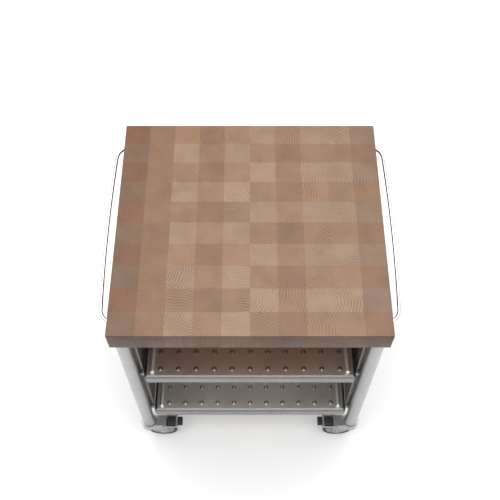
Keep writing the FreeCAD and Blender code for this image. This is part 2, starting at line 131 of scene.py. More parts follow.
# ---------------------------------------------------------------- materials
RING_SHADE = (0.50, 0.42, 0.34, 1)
MOTTLE_SHADE = (0.66, 0.52, 0.42, 1)
PORE_SHADE = (0.45, 0.36, 0.30, 1)
RING_WOBBLE = 3.5 * MM
RING_FINE_WOBBLE = 0.6 * MM
LATE_WOOD_POWER = 1.8     # how narrow the dark part of each ring is
WOOD_RELIEF = 0.25 * MM


def ring_phase(g, flat):
    """Place within a growth ring, 0 to 1, around the centre that the mesh gives each stave."""
    rings = g.add("Attribute", attribute_name="stave_rings").outputs["Vector"]
    parts = g.add("SeparateXYZ", [(0, rings)])
    centre = g.add("CombineXYZ", [(0, parts.outputs[0]), (1, parts.outputs[1])]).outputs[0]
    away = g.vector("SUBTRACT", flat, centre)
    distance = g.add("VectorMath", [(0, away)], operation="LENGTH").outputs["Value"]
    wide_noise = g.noise(g.coords((1, 1, 0.06)), 24.0, 2.0)
    wobble = g.ramp(wide_noise, 0.2, 0.8, -RING_WOBBLE, RING_WOBBLE)
    fine_noise = g.noise(g.coords((1, 1, 0.05)), 160.0, 2.0)
    fine_wobble = g.ramp(fine_noise, 0.2, 0.8, -RING_FINE_WOBBLE, RING_FINE_WOBBLE)
    reach = g.math("ADD", g.math("ADD", distance, wobble), fine_wobble)
    return g.math("FRACT", g.math("DIVIDE", reach, parts.outputs[2]))


def end_grain_material():
    """Oiled end grain: growth rings run straight down through each stave, so the sides show them as lines.

    The mesh gives each stave its tone, with painted shade on the sides and painted light on the underside,
    and its own ring centre and ring width."""
    g = Graph("end_grain_maple")
    where = g.coords()
    flat = g.vector("MULTIPLY", where, (1, 1, 0))
    # The stave's tone, with painted shade on the block's sides and painted light on its underside.
    tone = g.add("Attribute", attribute_name="stave_tone_with_painted_light_and_shade").outputs["Color"]
    late_wood = g.math("POWER", ring_phase(g, flat), LATE_WOOD_POWER)
    ring_strength = g.ramp(g.noise(flat, 13.0, 1.0), 0.36, 0.66, 0.35, 1.0)
    colour = g.mix(g.math("MULTIPLY", late_wood, ring_strength), tone, RING_SHADE, "MULTIPLY")
    mottle = g.ramp(g.noise(where, 42.0, 4.0, 0.6), 0.3, 0.7, 0.0, 0.22)
    colour = g.mix(mottle, colour, MOTTLE_SHADE, "MULTIPLY")
    pores = g.ramp(g.noise(g.coords((1, 1, 0.03)), 1500.0, 1.0), 0.56, 0.72, 0.0, 0.32)
    colour = g.mix(pores, colour, PORE_SHADE, "MULTIPLY")
    normal = g.bump(g.math("ADD", g.math("MULTIPLY", late_wood, 0.4), pores), WOOD_RELIEF, 0.5)
    sheen = g.ramp(g.noise(where, 30.0, 3.0), 0.3, 0.7, 0.36, 0.5)
    return g.surface(Base_Color=colour, Roughness=sheen, Normal=normal, IOR=1.48, Specular_IOR_Level=0.42)


DULLED = 0.86             # smudged and brushed steel, as a share of clean steel


def steel_material(name, colour, roughness, brush, edge=0.0, grain=0.03, smudge=0.06, scratch=0.02 * MM):
    """Stainless steel with handling smudges and fine lines along the axis that brush scales least."""
    g = Graph(name)
    lines = g.noise(g.coords(brush), 1.0, 3.0, 0.6)
    blotches = g.noise(g.coords(), 9.0, 4.0, 0.6)
    rough = g.math("ADD", g.ramp(lines, 0.3, 0.7, roughness - grain, roughness + grain),
                   g.ramp(blotches, 0.35, 0.7, 0.0, smudge))
    dull = tuple(channel * DULLED for channel in colour)
    shade = g.mix(g.ramp(blotches, 0.3, 0.75), colour + (1,), dull + (1,))
    shade = g.mix(g.ramp(lines, 0.3, 0.7, 0.0, 0.25), shade, dull + (1,))
    normal = g.bump(lines, scratch, 0.6, g.soft_edges(edge) if edge else None)
    return g.surface(Base_Color=shade, Metallic=1.0, Roughness=rough, Normal=normal)


CLEAN_RUBBER = (0.012, 0.012, 0.013, 1)
DUSTY_RUBBER = (0.05, 0.048, 0.045, 1)


def rubber_material():
    """Black tread rubber with dust and fine pitting."""
    g = Graph("black_rubber")
    dust = g.ramp(g.noise(g.coords(), 55.0, 5.0, 0.65), 0.45, 0.75, 0.0, 0.5)
    colour = g.mix(dust, CLEAN_RUBBER, DUSTY_RUBBER)
    pits = g.noise(g.coords(), 2600.0, 2.0)
    return g.surface(Base_Color=colour, Roughness=g.ramp(dust, 0.0, 0.5, 0.52, 0.75),
                     Normal=g.bump(pits, 0.12 * MM, 0.5), Specular_IOR_Level=0.35)


WORN_GAIN = 1.35          # worn plastic, as a multiple of new plastic
WORN_DUST = 0.01          # and the grey that dust adds to it


def plastic_material(name, colour, roughness, texture_height):
    """Moulded plastic with a fine spark-eroded texture."""
    g = Graph(name)
    worn = g.ramp(g.noise(g.coords(), 70.0, 4.0, 0.6), 0.4, 0.75)
    light = tuple(min(1.0, channel * WORN_GAIN + WORN_DUST) for channel in colour)
    shade = g.mix(worn, colour + (1,), light + (1,))
    texture = g.add("TexVoronoi", [("Vector", g.coords()), ("Scale", 1900.0)]).outputs["Distance"]
    return g.surface(Base_Color=shade, Roughness=g.ramp(worn, 0, 1, roughness, roughness + 0.12),
                     Normal=g.bump(texture, texture_height, 0.6))


FLOOR_DARK = (0.93, 0.93, 0.93, 1)
FLOOR_LIGHT = (0.95, 0.95, 0.95, 1)


def floor_material():
    """Pale studio floor."""
    g = Graph("pale_floor")
    shade = g.mix(g.noise(g.coords(), 1.2, 2.0), FLOOR_DARK, FLOOR_LIGHT)
    return g.surface(Base_Color=shade, Roughness=0.6, Specular_IOR_Level=0.1)


WOOD = end_grain_material()
LEG_STEEL = steel_material("leg_steel", (0.42, 0.425, 0.43), 0.30, (700, 700, 12), smudge=0.04)
PANEL_STEEL = steel_material("panel_steel", (0.38, 0.37, 0.36), 0.30, (12, 12, 900), edge=0.8 * MM)
SHELF_STEEL = steel_material("shelf_steel", (0.78, 0.74, 0.70), 0.32, (14, 700, 700))
# A darker copy of the shelf steel: painted shade on the shelves' skirts, which would otherwise reflect the
# bright floor.
SHADED_SKIRT_STEEL = steel_material("skirt_steel_painted_shade", (0.26, 0.255, 0.25), 0.30, (14, 700, 700))
BEAD_STEEL = steel_material("bead_steel", (0.92, 0.91, 0.90), 0.36, (300, 12, 300))
POLISHED = steel_material("polished_steel", (0.84, 0.84, 0.84), 0.12, (300, 300, 300), grain=0.02)
CASTER_STEEL = steel_material("caster_steel", (0.44, 0.43, 0.42), 0.30, (500, 500, 60), edge=0.6 * MM)
SCREW_STEEL = steel_material("screw_steel", (0.55, 0.54, 0.52), 0.32, (500, 500, 500), edge=0.3 * MM)
RUBBER = rubber_material()
HUB_PLASTIC = plastic_material("hub_plastic", (0.33, 0.34, 0.35), 0.42, 0.06 * MM)
PAD_PLASTIC = plastic_material("pad_plastic", (0.014, 0.014, 0.015), 0.46, 0.08 * MM)


# ---------------------------------------------------------------- mesh helpers
WELD_DISTANCE = 0.001 * MM
SAME_POINT = 0.0001 * MM
CREASE = 35.0             # degrees; sharper edges stay crisp
ROUND_SEGMENTS = 72


def new_piece(name, bm, material, body, replaced, crease=CREASE):
    """Turns a bmesh into a smooth-shaded piece on a body, in place of the CAD nodes it replaces."""
    bmesh.ops.remove_doubles(bm, verts=bm.verts, dist=WELD_DISTANCE)
    bmesh.ops.recalc_face_normals(bm, faces=bm.faces)
    for face in bm.faces:
        face.smooth = True
    for edge in bm.edges:
        edge.smooth = len(edge.link_faces) == 2 and edge.calc_face_angle() < math.radians(crease)
    mesh = bpy.data.meshes.new(name)
    bm.to_mesh(mesh)
    bm.free()
    piece = bpy.data.objects.new(name, mesh)
    bpy.context.scene.collection.objects.link(piece)
    mesh.materials.append(material)
    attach(piece, body)
    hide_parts(*replaced)
    return piece


def middle(name):
    """Centre of a node's box."""
    low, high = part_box(name)
    return (Vector(low) + Vector(high)) / 2


def lathe(bm, profile, centre, axis="Z", segments=ROUND_SEGMENTS):
    """Revolves (radius, height) points about an axis through the centre."""
    rings = []
    for radius, height in profile:
        ring = []
        for step in range(segments):
            angle = 2 * math.pi * step / segments
            a, b = radius * math.cos(angle), radius * math.sin(angle)
            offset = {"Z": (a, b, height), "Y": (a, height, b)}[axis]
            ring.append(bm.verts.new(Vector(centre) + Vector(offset)))
        rings.append(ring)
    for lower, upper in zip(rings, rings[1:]):
        for step in range(segments):
            following = (step + 1) % segments
            corners = (lower[step], lower[following], upper[following], upper[step])
            bm.faces.new(corners)


def arc(centre_radius, centre_height, radius, start, end, steps=6):
    """Points of an arc in a profile; angles in degrees from the radius axis."""
    points = []
    for step in range(steps + 1):
        angle = math.radians(start + (end - start) * step / steps)
        points.append((centre_radius + radius * math.cos(angle), centre_height + radius * math.sin(angle)))
    return points


def rounded_block(bm, low, high, radius, segments):
    """Box with rounded edges."""
    size = Vector(high) - Vector(low)
    made = bmesh.ops.create_cube(bm, size=1.0)["verts"]
    bmesh.ops.scale(bm, vec=size, verts=made)
    bmesh.ops.translate(bm, vec=(Vector(low) + Vector(high)) / 2, verts=made)
    edges = list({edge for vert in made for edge in vert.link_edges})
    bmesh.ops.bevel(bm, geom=edges, offset=radius, segments=segments, affect="EDGES", profile=0.5)


# ---------------------------------------------------------------- butcher block
BLOCK_COUNT = 10
BLOCK_EDGE = 2 * MM
BLOCK_EDGE_STEPS = 4
BLOCK_SEED = 7
TONE_SPREAD = (0.93, 1.06)
RING_CENTRE_AWAY = (50 * MM, 220 * MM)      # ring centre, from the stave's own centre
RING_WIDTH = (4.5 * MM, 8.5 * MM)
UPRIGHT = 0.7             # a face whose normal rises or falls further than this is the top or underside

# Linear colours of the maple staves the block is glued from.
STAVE_TONES = {
    "red": (0.176, 0.084, 0.044),
    "dark": (0.172, 0.102, 0.061),
    "tan": (0.216, 0.122, 0.073),
    "grey": (0.222, 0.141, 0.095),
    "mid": (0.250, 0.149, 0.087),
    "pale": (0.284, 0.188, 0.124),
}
# Each column is glued from two boards that alternate from the back row to the front row.
COLUMN_BOARDS = (
    ("red", "dark"), ("tan", "tan"), ("mid", "pale"), ("tan", "mid"), ("mid", "pale"),
    ("pale", "mid"), ("mid", "tan"), ("pale", "mid"), ("pale", "mid"), ("grey", "tan"),
)
# Shares of a stave's tone: the sides are darkened as painted shade, since they get less light than the
# top, and the underside is lightened and warmed as painted light, so that its reflection in the upper
# shelf comes out brighter and browner.
TOP_SHADE = Vector((1, 1, 1))
SIDE_PAINTED_SHADE = Vector((0.42, 0.34, 0.23))
UNDER_PAINTED_LIGHT = Vector((1.3, 1.0, 0.8))


def painted_face_shade(polygon):
    """How much a face of the block is darkened or lightened from the top: painted shade on the sides,
    painted light on the underside.
    """
    if polygon.normal.z < -UPRIGHT:
        return UNDER_PAINTED_LIGHT
    if polygon.normal.z > UPRIGHT:
        return TOP_SHADE
    return SIDE_PAINTED_SHADE


def stave_looks(low, size):
    """(tone, ring centre and ring width) of each stave, by column and row."""
    rng = random.Random(BLOCK_SEED)
    staves = {}
    for column in range(BLOCK_COUNT):
        for row in range(BLOCK_COUNT):
            board = COLUMN_BOARDS[column][(BLOCK_COUNT - 1 - row) % 2]
            tone = Vector(STAVE_TONES[board]) * rng.uniform(*TONE_SPREAD)
            angle = rng.uniform(0, 2 * math.pi)
            away = rng.uniform(*RING_CENTRE_AWAY)
            x = low.x + size.x * (column + 0.5) / BLOCK_COUNT + away * math.cos(angle)
            y = low.y + size.y * (row + 0.5) / BLOCK_COUNT + away * math.sin(angle)
            staves[column, row] = (tone, Vector((x, y, rng.uniform(*RING_WIDTH))))
    return staves


def eased_slab(low, high):
    """Block with eased edges, cut into faces along the glue lines."""
    size = high - low
    bm = bmesh.new()
    made = bmesh.ops.create_cube(bm, size=1.0)["verts"]
    bmesh.ops.scale(bm, vec=size, verts=made)
    bmesh.ops.translate(bm, vec=(low + high) / 2, verts=made)
    bmesh.ops.bevel(bm, geom=list(bm.edges), offset=BLOCK_EDGE, segments=BLOCK_EDGE_STEPS,
                    affect="EDGES", profile=0.5)
    for axis, normal in enumerate((Vector((1, 0, 0)), Vector((0, 1, 0)))):
        for line in range(1, BLOCK_COUNT):
            point = Vector((0, 0, 0))
            point[axis] = low[axis] + size[axis] * line / BLOCK_COUNT
            bmesh.ops.bisect_plane(bm, geom=bm.verts[:] + bm.edges[:] + bm.faces[:],
                                   plane_co=point, plane_no=normal)
    return bm


def paint_staves(mesh, low, size):
    """Writes each face's stave tone, with painted shade on the sides and painted light on the underside,
    and its growth rings, which the wood material reads.
    """
    staves = stave_looks(low, size)
    tones_with_painted_shade = mesh.attributes.new("stave_tone_with_painted_light_and_shade", "FLOAT_COLOR", "CORNER")
    rings = mesh.attributes.new("stave_rings", "FLOAT_VECTOR", "CORNER")
    for polygon in mesh.polygons:
        place = [(polygon.center[axis] - low[axis]) / size[axis] * BLOCK_COUNT for axis in (0, 1)]
        column, row = [min(BLOCK_COUNT - 1, max(0, int(value))) for value in place]
        tone, ring = staves[column, row]
        # Painted shade on the sides, painted light on the underside.
        shade = painted_face_shade(polygon)
        colour = [channel * factor for channel, factor in zip(tone, shade)]
        for loop in polygon.loop_indices:
            tones_with_painted_shade.data[loop].color = (*colour, 1)
            rings.data[loop].vector = ring


def butcher_block():
    """Slab glued up from end-grain staves."""
    low, high = [Vector(corner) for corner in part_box("butcher_block_top")]
    bm = eased_slab(low, high)
    piece = new_piece("butcher_block", bm, WOOD, "root", ["butcher_block_top"])
    paint_staves(piece.data, low, high - low)


# ---------------------------------------------------------------- shelves
SHELF_ROUND = 10 * MM
SHELF_SHEET = 1.6 * MM
SHELF_BORDER = 2 * MM     # plain strip between the outer tiles and the round
GROOVE_DROP = 17 * MM
GROOVE_HEIGHT = 5 * MM
GROOVE_DEPTH = 2.2 * MM
GROOVE_SLOPE = 0.8 * MM
HEM_EASE = 1 * MM
HEM_CORNER = 0.3 * MM     # point of the eased hem, in from the sharp corner
SHELF_ROUND_STEPS = 10
SHELF_CORNER_STEPS = 6
SHELF_CREASE = 50.0       # degrees
SKIRT_STARTS = 0.985      # a face whose normal rises less than this takes the darker skirt steel, as painted shade
DIMPLE_COLUMNS = 11
DIMPLE_ROWS = 12
DIMPLE_PITCH = (54.4 * MM, 55.3 * MM)
DIMPLE_REACH = 9 * MM
DIMPLE_RISE = 2 * MM
DIMPLE_RINGS = (0.22, 0.42, 0.6, 0.76, 0.9, 1.0)
DIMPLE_SIDES = 24
TILE_CUTS = DIMPLE_SIDES // 4


def skirt_profile(drop):
    """(outwards, down) points of a shelf's edge, from the flat sheet over the round to the hem."""
    points = []
    for step in range(1, SHELF_ROUND_STEPS + 1):
        angle = math.pi / 2 * step / SHELF_ROUND_STEPS
        points.append((SHELF_ROUND * math.sin(angle), SHELF_ROUND * (1 - math.cos(angle))))
    out = SHELF_ROUND
    inner = out - GROOVE_DEPTH
    groove_end = GROOVE_DROP + GROOVE_HEIGHT
    points += [(out, GROOVE_DROP - GROOVE_SLOPE), (out, GROOVE_DROP), (inner, GROOVE_DROP + GROOVE_SLOPE),
               (inner, groove_end - GROOVE_SLOPE), (out, groove_end), (out, groove_end + GROOVE_SLOPE)]
    points += [(out, drop - HEM_EASE), (out - HEM_CORNER, drop - HEM_CORNER), (out - HEM_EASE, drop)]
    return points


def tile_bounds(index, count, pitch, half):
    """Low and high side of one tile; the outer tiles run up to the plain border."""
    low = (index - count / 2) * pitch
    high = low + pitch
    if index == 0:
        low = SHELF_BORDER - half
    if index == count - 1:
        high = half - SHELF_BORDER
    return low, high


def tile_edge_point(span_x, span_y, index):
    """One of the points around a tile, counted from its right-hand side's near corner."""
    side, step = divmod(index, TILE_CUTS)
    share = step / TILE_CUTS
    (x0, x1), (y0, y1) = span_x, span_y
    along_x = share * (x1 - x0)
    along_y = share * (y1 - y0)
    return ((x1, y0 + along_y), (x1 - along_x, y1), (x0, y1 - along_y), (x0 + along_x, y0))[side]


def dimple_tile(bm, centre, span_x, span_y):
    """One pressed dome in a flat tile."""
    rings = []
    for share in DIMPLE_RINGS:
        reach = DIMPLE_REACH * share
        rise = DIMPLE_RISE * (1 - share ** 2) ** 2
        ring = []
        for index in range(DIMPLE_SIDES):
            angle = math.pi * 2 * index / DIMPLE_SIDES - math.pi / 4
            offset = Vector((reach * math.cos(angle), reach * math.sin(angle), rise))
            ring.append(bm.verts.new(centre + offset))
        rings.append(ring)
    around = [tile_edge_point(span_x, span_y, index) for index in range(DIMPLE_SIDES)]
    rings.append([bm.verts.new((x, y, centre.z)) for x, y in around])
    peak = bm.verts.new(centre + Vector((0, 0, DIMPLE_RISE)))
    for index in range(DIMPLE_SIDES):
        following = (index + 1) % DIMPLE_SIDES
        bm.faces.new((peak, rings[0][index], rings[0][following]))
        for inner, outer in zip(rings, rings[1:]):
            bm.faces.new((inner[index], outer[index], outer[following], inner[following]))


def grid_lines(half, count, pitch):
    """Lines across a shelf: its flat part's two borders and every cut of the tiles between them."""
    lines = [-half]
    for index in range(count):
        low, high = tile_bounds(index, count, pitch, half)
        lines += [low + (high - low) * step / TILE_CUTS for step in range(TILE_CUTS)]
    return lines + [half - SHELF_BORDER, half]


def shelf_domes(bm, half_x, half_y, top):
    """Every dimple with its tile, in columns and rows."""
    for column in range(DIMPLE_COLUMNS):
        for row in range(DIMPLE_ROWS):
            x = (column - (DIMPLE_COLUMNS - 1) / 2) * DIMPLE_PITCH[0]
            y = (row - (DIMPLE_ROWS - 1) / 2) * DIMPLE_PITCH[1]
            span_x = tile_bounds(column, DIMPLE_COLUMNS, DIMPLE_PITCH[0], half_x)
            span_y = tile_bounds(row, DIMPLE_ROWS, DIMPLE_PITCH[1], half_y)
            dimple_tile(bm, Vector((x, y, top)), span_x, span_y)


def shelf_border(bm, lines_x, lines_y, top):
    """Plain strip round the tiles, cut where they are so that the two join."""
    for i, (x0, x1) in enumerate(zip(lines_x, lines_x[1:])):
        for j, (y0, y1) in enumerate(zip(lines_y, lines_y[1:])):
            if i in (0, len(lines_x) - 2) or j in (0, len(lines_y) - 2):
                corners = ((x0, y0), (x1, y0), (x1, y1), (x0, y1))
                bm.faces.new([bm.verts.new((x, y, top)) for x, y in corners])


def shelf_outline(lines_x, lines_y):
    """(point, outward direction) pairs round the flat part, fanned out at its corners."""
    half_x, half_y = lines_x[-1], lines_y[-1]
    outline = []
    for side in range(4):
        lines = lines_x if side % 2 == 0 else lines_y
        normal = (Vector((0, -1)), Vector((1, 0)), Vector((0, 1)), Vector((-1, 0)))[side]
        for value in (lines if side < 2 else lines[::-1]):
            base = ((value, -half_y), (half_x, value), (value, half_y), (-half_x, value))[side]
            outline.append((Vector(base), normal))
        turn = math.atan2(normal.y, normal.x)
        for step in range(1, SHELF_CORNER_STEPS):
            angle = turn + math.pi / 2 * step / SHELF_CORNER_STEPS
            outline.append((Vector(base), Vector((math.cos(angle), math.sin(angle)))))
    return outline


def shelf_skirt(bm, outline, top, drop):
    """Round, grooved skirt and hem, carried round the outline."""
    columns = []
    for base, normal in outline:
        column = [bm.verts.new((base.x, base.y, top))]
        for out, down in skirt_profile(drop):
            column.append(bm.verts.new((base.x + normal.x * out, base.y + normal.y * out, top - down)))
        columns.append(column)
    for column, following in zip(columns, columns[1:] + columns[:1]):
        for step in range(len(column) - 1):
            corners = [column[step], following[step], following[step + 1], column[step + 1]]
            if (corners[0].co - corners[1].co).length < SAME_POINT:
                corners = [corners[0], corners[2], corners[3]]
            bm.faces.new(corners)


def shelf(node):
    """Folded tray with pressed dimples, a rounded edge, a grooved skirt and a hem."""
    low, high = [Vector(corner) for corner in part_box(node)]
    top = high.z - DIMPLE_RISE
    half_x = high.x - SHELF_ROUND
    half_y = high.y - SHELF_ROUND
    lines_x = grid_lines(half_x, DIMPLE_COLUMNS, DIMPLE_PITCH[0])
    lines_y = grid_lines(half_y, DIMPLE_ROWS, DIMPLE_PITCH[1])
    bm = bmesh.new()
    shelf_domes(bm, half_x, half_y, top)
    shelf_border(bm, lines_x, lines_y, top)
    shelf_skirt(bm, shelf_outline(lines_x, lines_y), top, top - low.z)
    piece = new_piece(node + "_tray", bm, SHELF_STEEL, "root", [node], SHELF_CREASE)
    # The skirt's faces take the darker copy of the shelf steel, as painted shade.
    piece.data.materials.append(SHADED_SKIRT_STEEL)
    for polygon in piece.data.polygons:
        if polygon.normal.z < SKIRT_STARTS:
            polygon.material_index = 1
    thickness = piece.modifiers.new("sheet", "SOLIDIFY")
    thickness.thickness = SHELF_SHEET
    thickness.offset = -1.0


BEAD_END = 0.7            # round of a bead's ends, as a share of its radius
BEAD_END_STEPS = 6
BEAD_SEGMENTS = 32
LATHE_TIP = 0.1 * MM      # radius at which a turned end closes


def shelf_bead(node):
    """Polished round bead with domed ends."""
    low, high = [Vector(corner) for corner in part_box(node)]
    centre = (low + high) / 2
    radius = (high.z - low.z) / 2
    half = (high.y - low.y) / 2
    end = radius * BEAD_END
    front = []
    for step in range(BEAD_END_STEPS + 1):
        angle = math.pi / 2 * step / BEAD_END_STEPS
        front.append((radius - end + end * math.sin(angle), -half + end * (1 - math.cos(angle))))
    rear = [(r, -h) for r, h in reversed(front)]
    profile = [(LATHE_TIP, -half)] + front + rear + [(LATHE_TIP, half)]
    bm = bmesh.new()
    lathe(bm, profile, centre, "Y", BEAD_SEGMENTS)
    new_piece(node + "_round", bm, BEAD_STEEL, "root", [node])


# ---------------------------------------------------------------- legs
LEG_WALL = 1.5 * MM
LEG_STEPS = 8
WELD_BEAD = 2.2 * MM
WELD_REACH = 0.3          # weld's centre, out from the tube, as a share of its height


def leg(corner):
    """Satin tube with the weld bead that joins it to its plate."""
    low, high = [Vector(value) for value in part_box("leg_" + corner)]
    centre = Vector(((low.x + high.x) / 2, (low.y + high.y) / 2, 0))
    radius = (high.x - low.x) / 2
    tube = high.z - WELD_BEAD - low.z
    profile = [(radius - LEG_WALL, low.z), (radius, low.z)]
    profile += [(radius, low.z + tube * step / LEG_STEPS) for step in range(1, LEG_STEPS + 1)]
    profile += arc(radius + WELD_BEAD * WELD_REACH, high.z - WELD_BEAD / 2, WELD_BEAD / 2, -90, 90)
    bm = bmesh.new()
    lathe(bm, profile, centre)
    new_piece("leg_tube_" + corner, bm, LEG_STEEL, "root", ["leg_" + corner])


CUP_ROUND = 2 * MM
CUP_LIP = 0.7 * MM
CUP_WALL = 1.5 * MM
CUP_HEIGHT = 14 * MM
CUP_LINE = 0.6            # height of the turned line, as a share of the cup's
STEM_HOLE = 6.2 * MM


def leg_cup(corner):
    """Thin-walled end cup with a fine lip and a turned line round the tube."""
    low, high = [Vector(value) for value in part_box("leg_cup_" + corner)]
    centre = Vector(((low.x + high.x) / 2, (low.y + high.y) / 2, 0))
    radius = (high.x - low.x) / 2
    lip = low.z + CUP_HEIGHT
    line = low.z + CUP_HEIGHT * CUP_LINE
    profile = [(STEM_HOLE, low.z)]
    profile += arc(radius - CUP_ROUND, low.z + CUP_ROUND, CUP_ROUND, -90, 0, 8)
    profile += [(radius, line), (radius - CUP_LIP / 2, line + CUP_LIP), (radius, line + 2 * CUP_LIP)]
    profile += arc(radius - CUP_LIP, lip - CUP_LIP, CUP_LIP, 0, 90, 4)
    profile += [(radius - CUP_WALL, lip), (radius - CUP_WALL, lip - CUP_ROUND)]
    bm = bmesh.new()
    lathe(bm, profile, centre)
    new_piece("leg_end_cup_" + corner, bm, LEG_STEEL, "root", ["leg_cup_" + corner])


# ---------------------------------------------------------------- handles
HANDLE_BEND = 40 * MM
HANDLE_BEND_Y = 256 * MM
HANDLE_BOW_RADIUS = 5464 * MM
HANDLE_STEPS = 24         # of each bend, and of each half of the bow
ROD_SEGMENTS = 24


def handle_path(side, peak, start_x, z):
    """Centre line of a handle, from the front rosette's face to the rear one's."""
    bow_centre = peak - HANDLE_BOW_RADIUS
    reach = HANDLE_BOW_RADIUS - HANDLE_BEND
    tilt = math.asin(HANDLE_BEND_Y / reach)
    bend_x = bow_centre + reach * math.cos(tilt)
    square = math.acos((start_x - bend_x) / HANDLE_BEND)
    half = []
    for step in range(HANDLE_STEPS + 1):
        angle = square + (tilt - square) * step / HANDLE_STEPS
        half.append((bend_x + HANDLE_BEND * math.cos(angle),
                     HANDLE_BEND_Y + HANDLE_BEND * math.sin(angle)))
    for step in range(1, HANDLE_STEPS + 1):
        angle = tilt * (1 - step / HANDLE_STEPS)
        half.append((bow_centre + HANDLE_BOW_RADIUS * math.cos(angle),
                     HANDLE_BOW_RADIUS * math.sin(angle)))
    front = [Vector((side * x, -y, z)) for x, y in half]
    rear = [Vector((side * x, y, z)) for x, y in reversed(half[:-1])]
    return front + rear


def sweep(bm, path, radius):
    """Round bar along a level path, closed at both ends."""
    rings = []
    for index, point in enumerate(path):
        ahead = path[min(index + 1, len(path) - 1)] - path[max(index - 1, 0)]
        side = ahead.normalized().cross(Vector((0, 0, 1)))
        ring = []
        for step in range(ROD_SEGMENTS):
            angle = 2 * math.pi * step / ROD_SEGMENTS
            outwards = side * math.cos(angle) + Vector((0, 0, math.sin(angle)))
            ring.append(bm.verts.new(point + radius * outwards))
        rings.append(ring)
    for ring, following in zip(rings, rings[1:]):
        for step in range(ROD_SEGMENTS):
            other = (step + 1) % ROD_SEGMENTS
            bm.faces.new((ring[step], ring[other], following[other], following[step]))
    bm.faces.new(rings[0])
    bm.faces.new(rings[-1])


def handle(side_name):
    """Polished bowed rod."""
    node = "handle_" + side_name
    low, high = [Vector(corner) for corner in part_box(node)]
    side = 1 if side_name == "right" else -1
    radius = (high.z - low.z) / 2
    reach = max(abs(low.x), abs(high.x))
    start = min(abs(low.x), abs(high.x))
    bm = bmesh.new()
    sweep(bm, handle_path(side, reach - radius, start, (low.z + high.z) / 2), radius)
    new_piece(node + "_rod", bm, POLISHED, "root", [node])


# ---------------------------------------------------------------- casters
TYRE_SHOULDER = 4 * MM
SIDEWALL_END = 0.4 * MM   # flat sidewall's end, in from the shoulder
# (out from the hub, in from the sidewall) points of the tyre's seat.
TYRE_SEAT = ((0.0, 1.0 * MM), (0.6 * MM, 0.3 * MM), (1.4 * MM, 0.0))
# (depth, distance from the middle) points of the fine groove on each half of the tread.
TREAD_GROOVE = ((0.0, 4.6 * MM), (0.7 * MM, 4.2 * MM), (0.7 * MM, 3.6 * MM), (0.0, 3.2 * MM))


def upright_radius(node):
    """Radius of a round node that stands upright, from its box's height."""
    low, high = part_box(node)
    return (high[2] - low[2]) / 2


def tyre(corner):
    """Tread with rounded shoulders and two fine grooves."""
    node = "wheel_tyre_" + corner
    low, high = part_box(node)
    half = (high[1] - low[1]) / 2
    outer = upright_radius(node)
    inner = upright_radius("wheel_hub_" + corner)
    side = [(inner + out, inset - half) for out, inset in TYRE_SEAT]
    side += [(outer - TYRE_SHOULDER - SIDEWALL_END, -half)]
    side += arc(outer - TYRE_SHOULDER, TYRE_SHOULDER - half, TYRE_SHOULDER, -90, 0)
    side += [(outer - depth, -place) for depth, place in TREAD_GROOVE]
    profile = side + [(r, -h) for r, h in reversed(side)]
    bm = bmesh.new()
    lathe(bm, profile + profile[:1], middle(node), "Y")
    new_piece("tyre_" + corner, bm, RUBBER, "wheel_" + corner, [node])


HUB_INSET = 1 * MM        # hub's face, in from the tyre's
HUB_RECESS = 5 * MM
HUB_RIM = 3.5 * MM
HUB_BOSS = 10 * MM
HUB_BORE = 5.1 * MM
HUB_EASE = 0.6 * MM
HUB_RIBS = 6
RIB_THICK = 2.4 * MM


def hub_ribs(bm, centre, rim, depth):
    """Ribs from the boss to the rim, evenly turned about the axle."""
    for rib in range(HUB_RIBS):
        made = bmesh.ops.create_cube(bm, size=1.0)["verts"]
        bmesh.ops.scale(bm, vec=(rim - HUB_BOSS + HUB_EASE, depth, RIB_THICK), verts=made)
        bmesh.ops.translate(bm, vec=((rim + HUB_BOSS) / 2, 0, 0), verts=made)
        turn = Matrix.Rotation(2 * math.pi * rib / HUB_RIBS, 3, "Y")
        bmesh.ops.rotate(bm, cent=(0, 0, 0), matrix=turn, verts=made)
        bmesh.ops.translate(bm, vec=centre, verts=made)


def hub(corner):
    """Moulded hub: rim, recessed web with ribs, and a boss."""
    node = "wheel_hub_" + corner
    low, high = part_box(node)
    tyre_low, tyre_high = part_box("wheel_tyre_" + corner)
    centre = middle(node)
    radius = upright_radius(node)
    boss = (high[1] - low[1]) / 2
    half = (tyre_high[1] - tyre_low[1]) / 2 - HUB_INSET
    web = half - HUB_RECESS
    rim = radius - HUB_RIM
    side = [(HUB_BORE, -boss), (HUB_BOSS - HUB_EASE, -boss), (HUB_BOSS, HUB_EASE - boss),
            (HUB_BOSS, -web - HUB_EASE), (HUB_BOSS + HUB_EASE, -web), (rim - HUB_EASE, -web),
            (rim, -web - HUB_EASE), (rim, HUB_EASE - half), (rim + HUB_EASE, -half),
            (radius - HUB_EASE, -half), (radius, HUB_EASE - half)]
    profile = side + [(r, -h) for r, h in reversed(side)]
    bm = bmesh.new()
    lathe(bm, profile + profile[:1], centre, "Y")
    hub_ribs(bm, centre, rim, 2 * (half - HUB_EASE))
    new_piece("hub_" + corner, bm, HUB_PLASTIC, "wheel_" + corner, [node])


PAD_RIB = 1 * MM
PAD_RIB_HALF = 1.1 * MM
PAD_RIB_PITCH = 5 * MM
PAD_MARGIN = 3.5 * MM
PAD_ROUND = 2.6 * MM
STRIP_WIDTH = 6 * MM
STRIP_SHEET = 2 * MM
STRIP_GAP = 0.1 * MM
BRIDGE_ROUND = 0.5 * MM


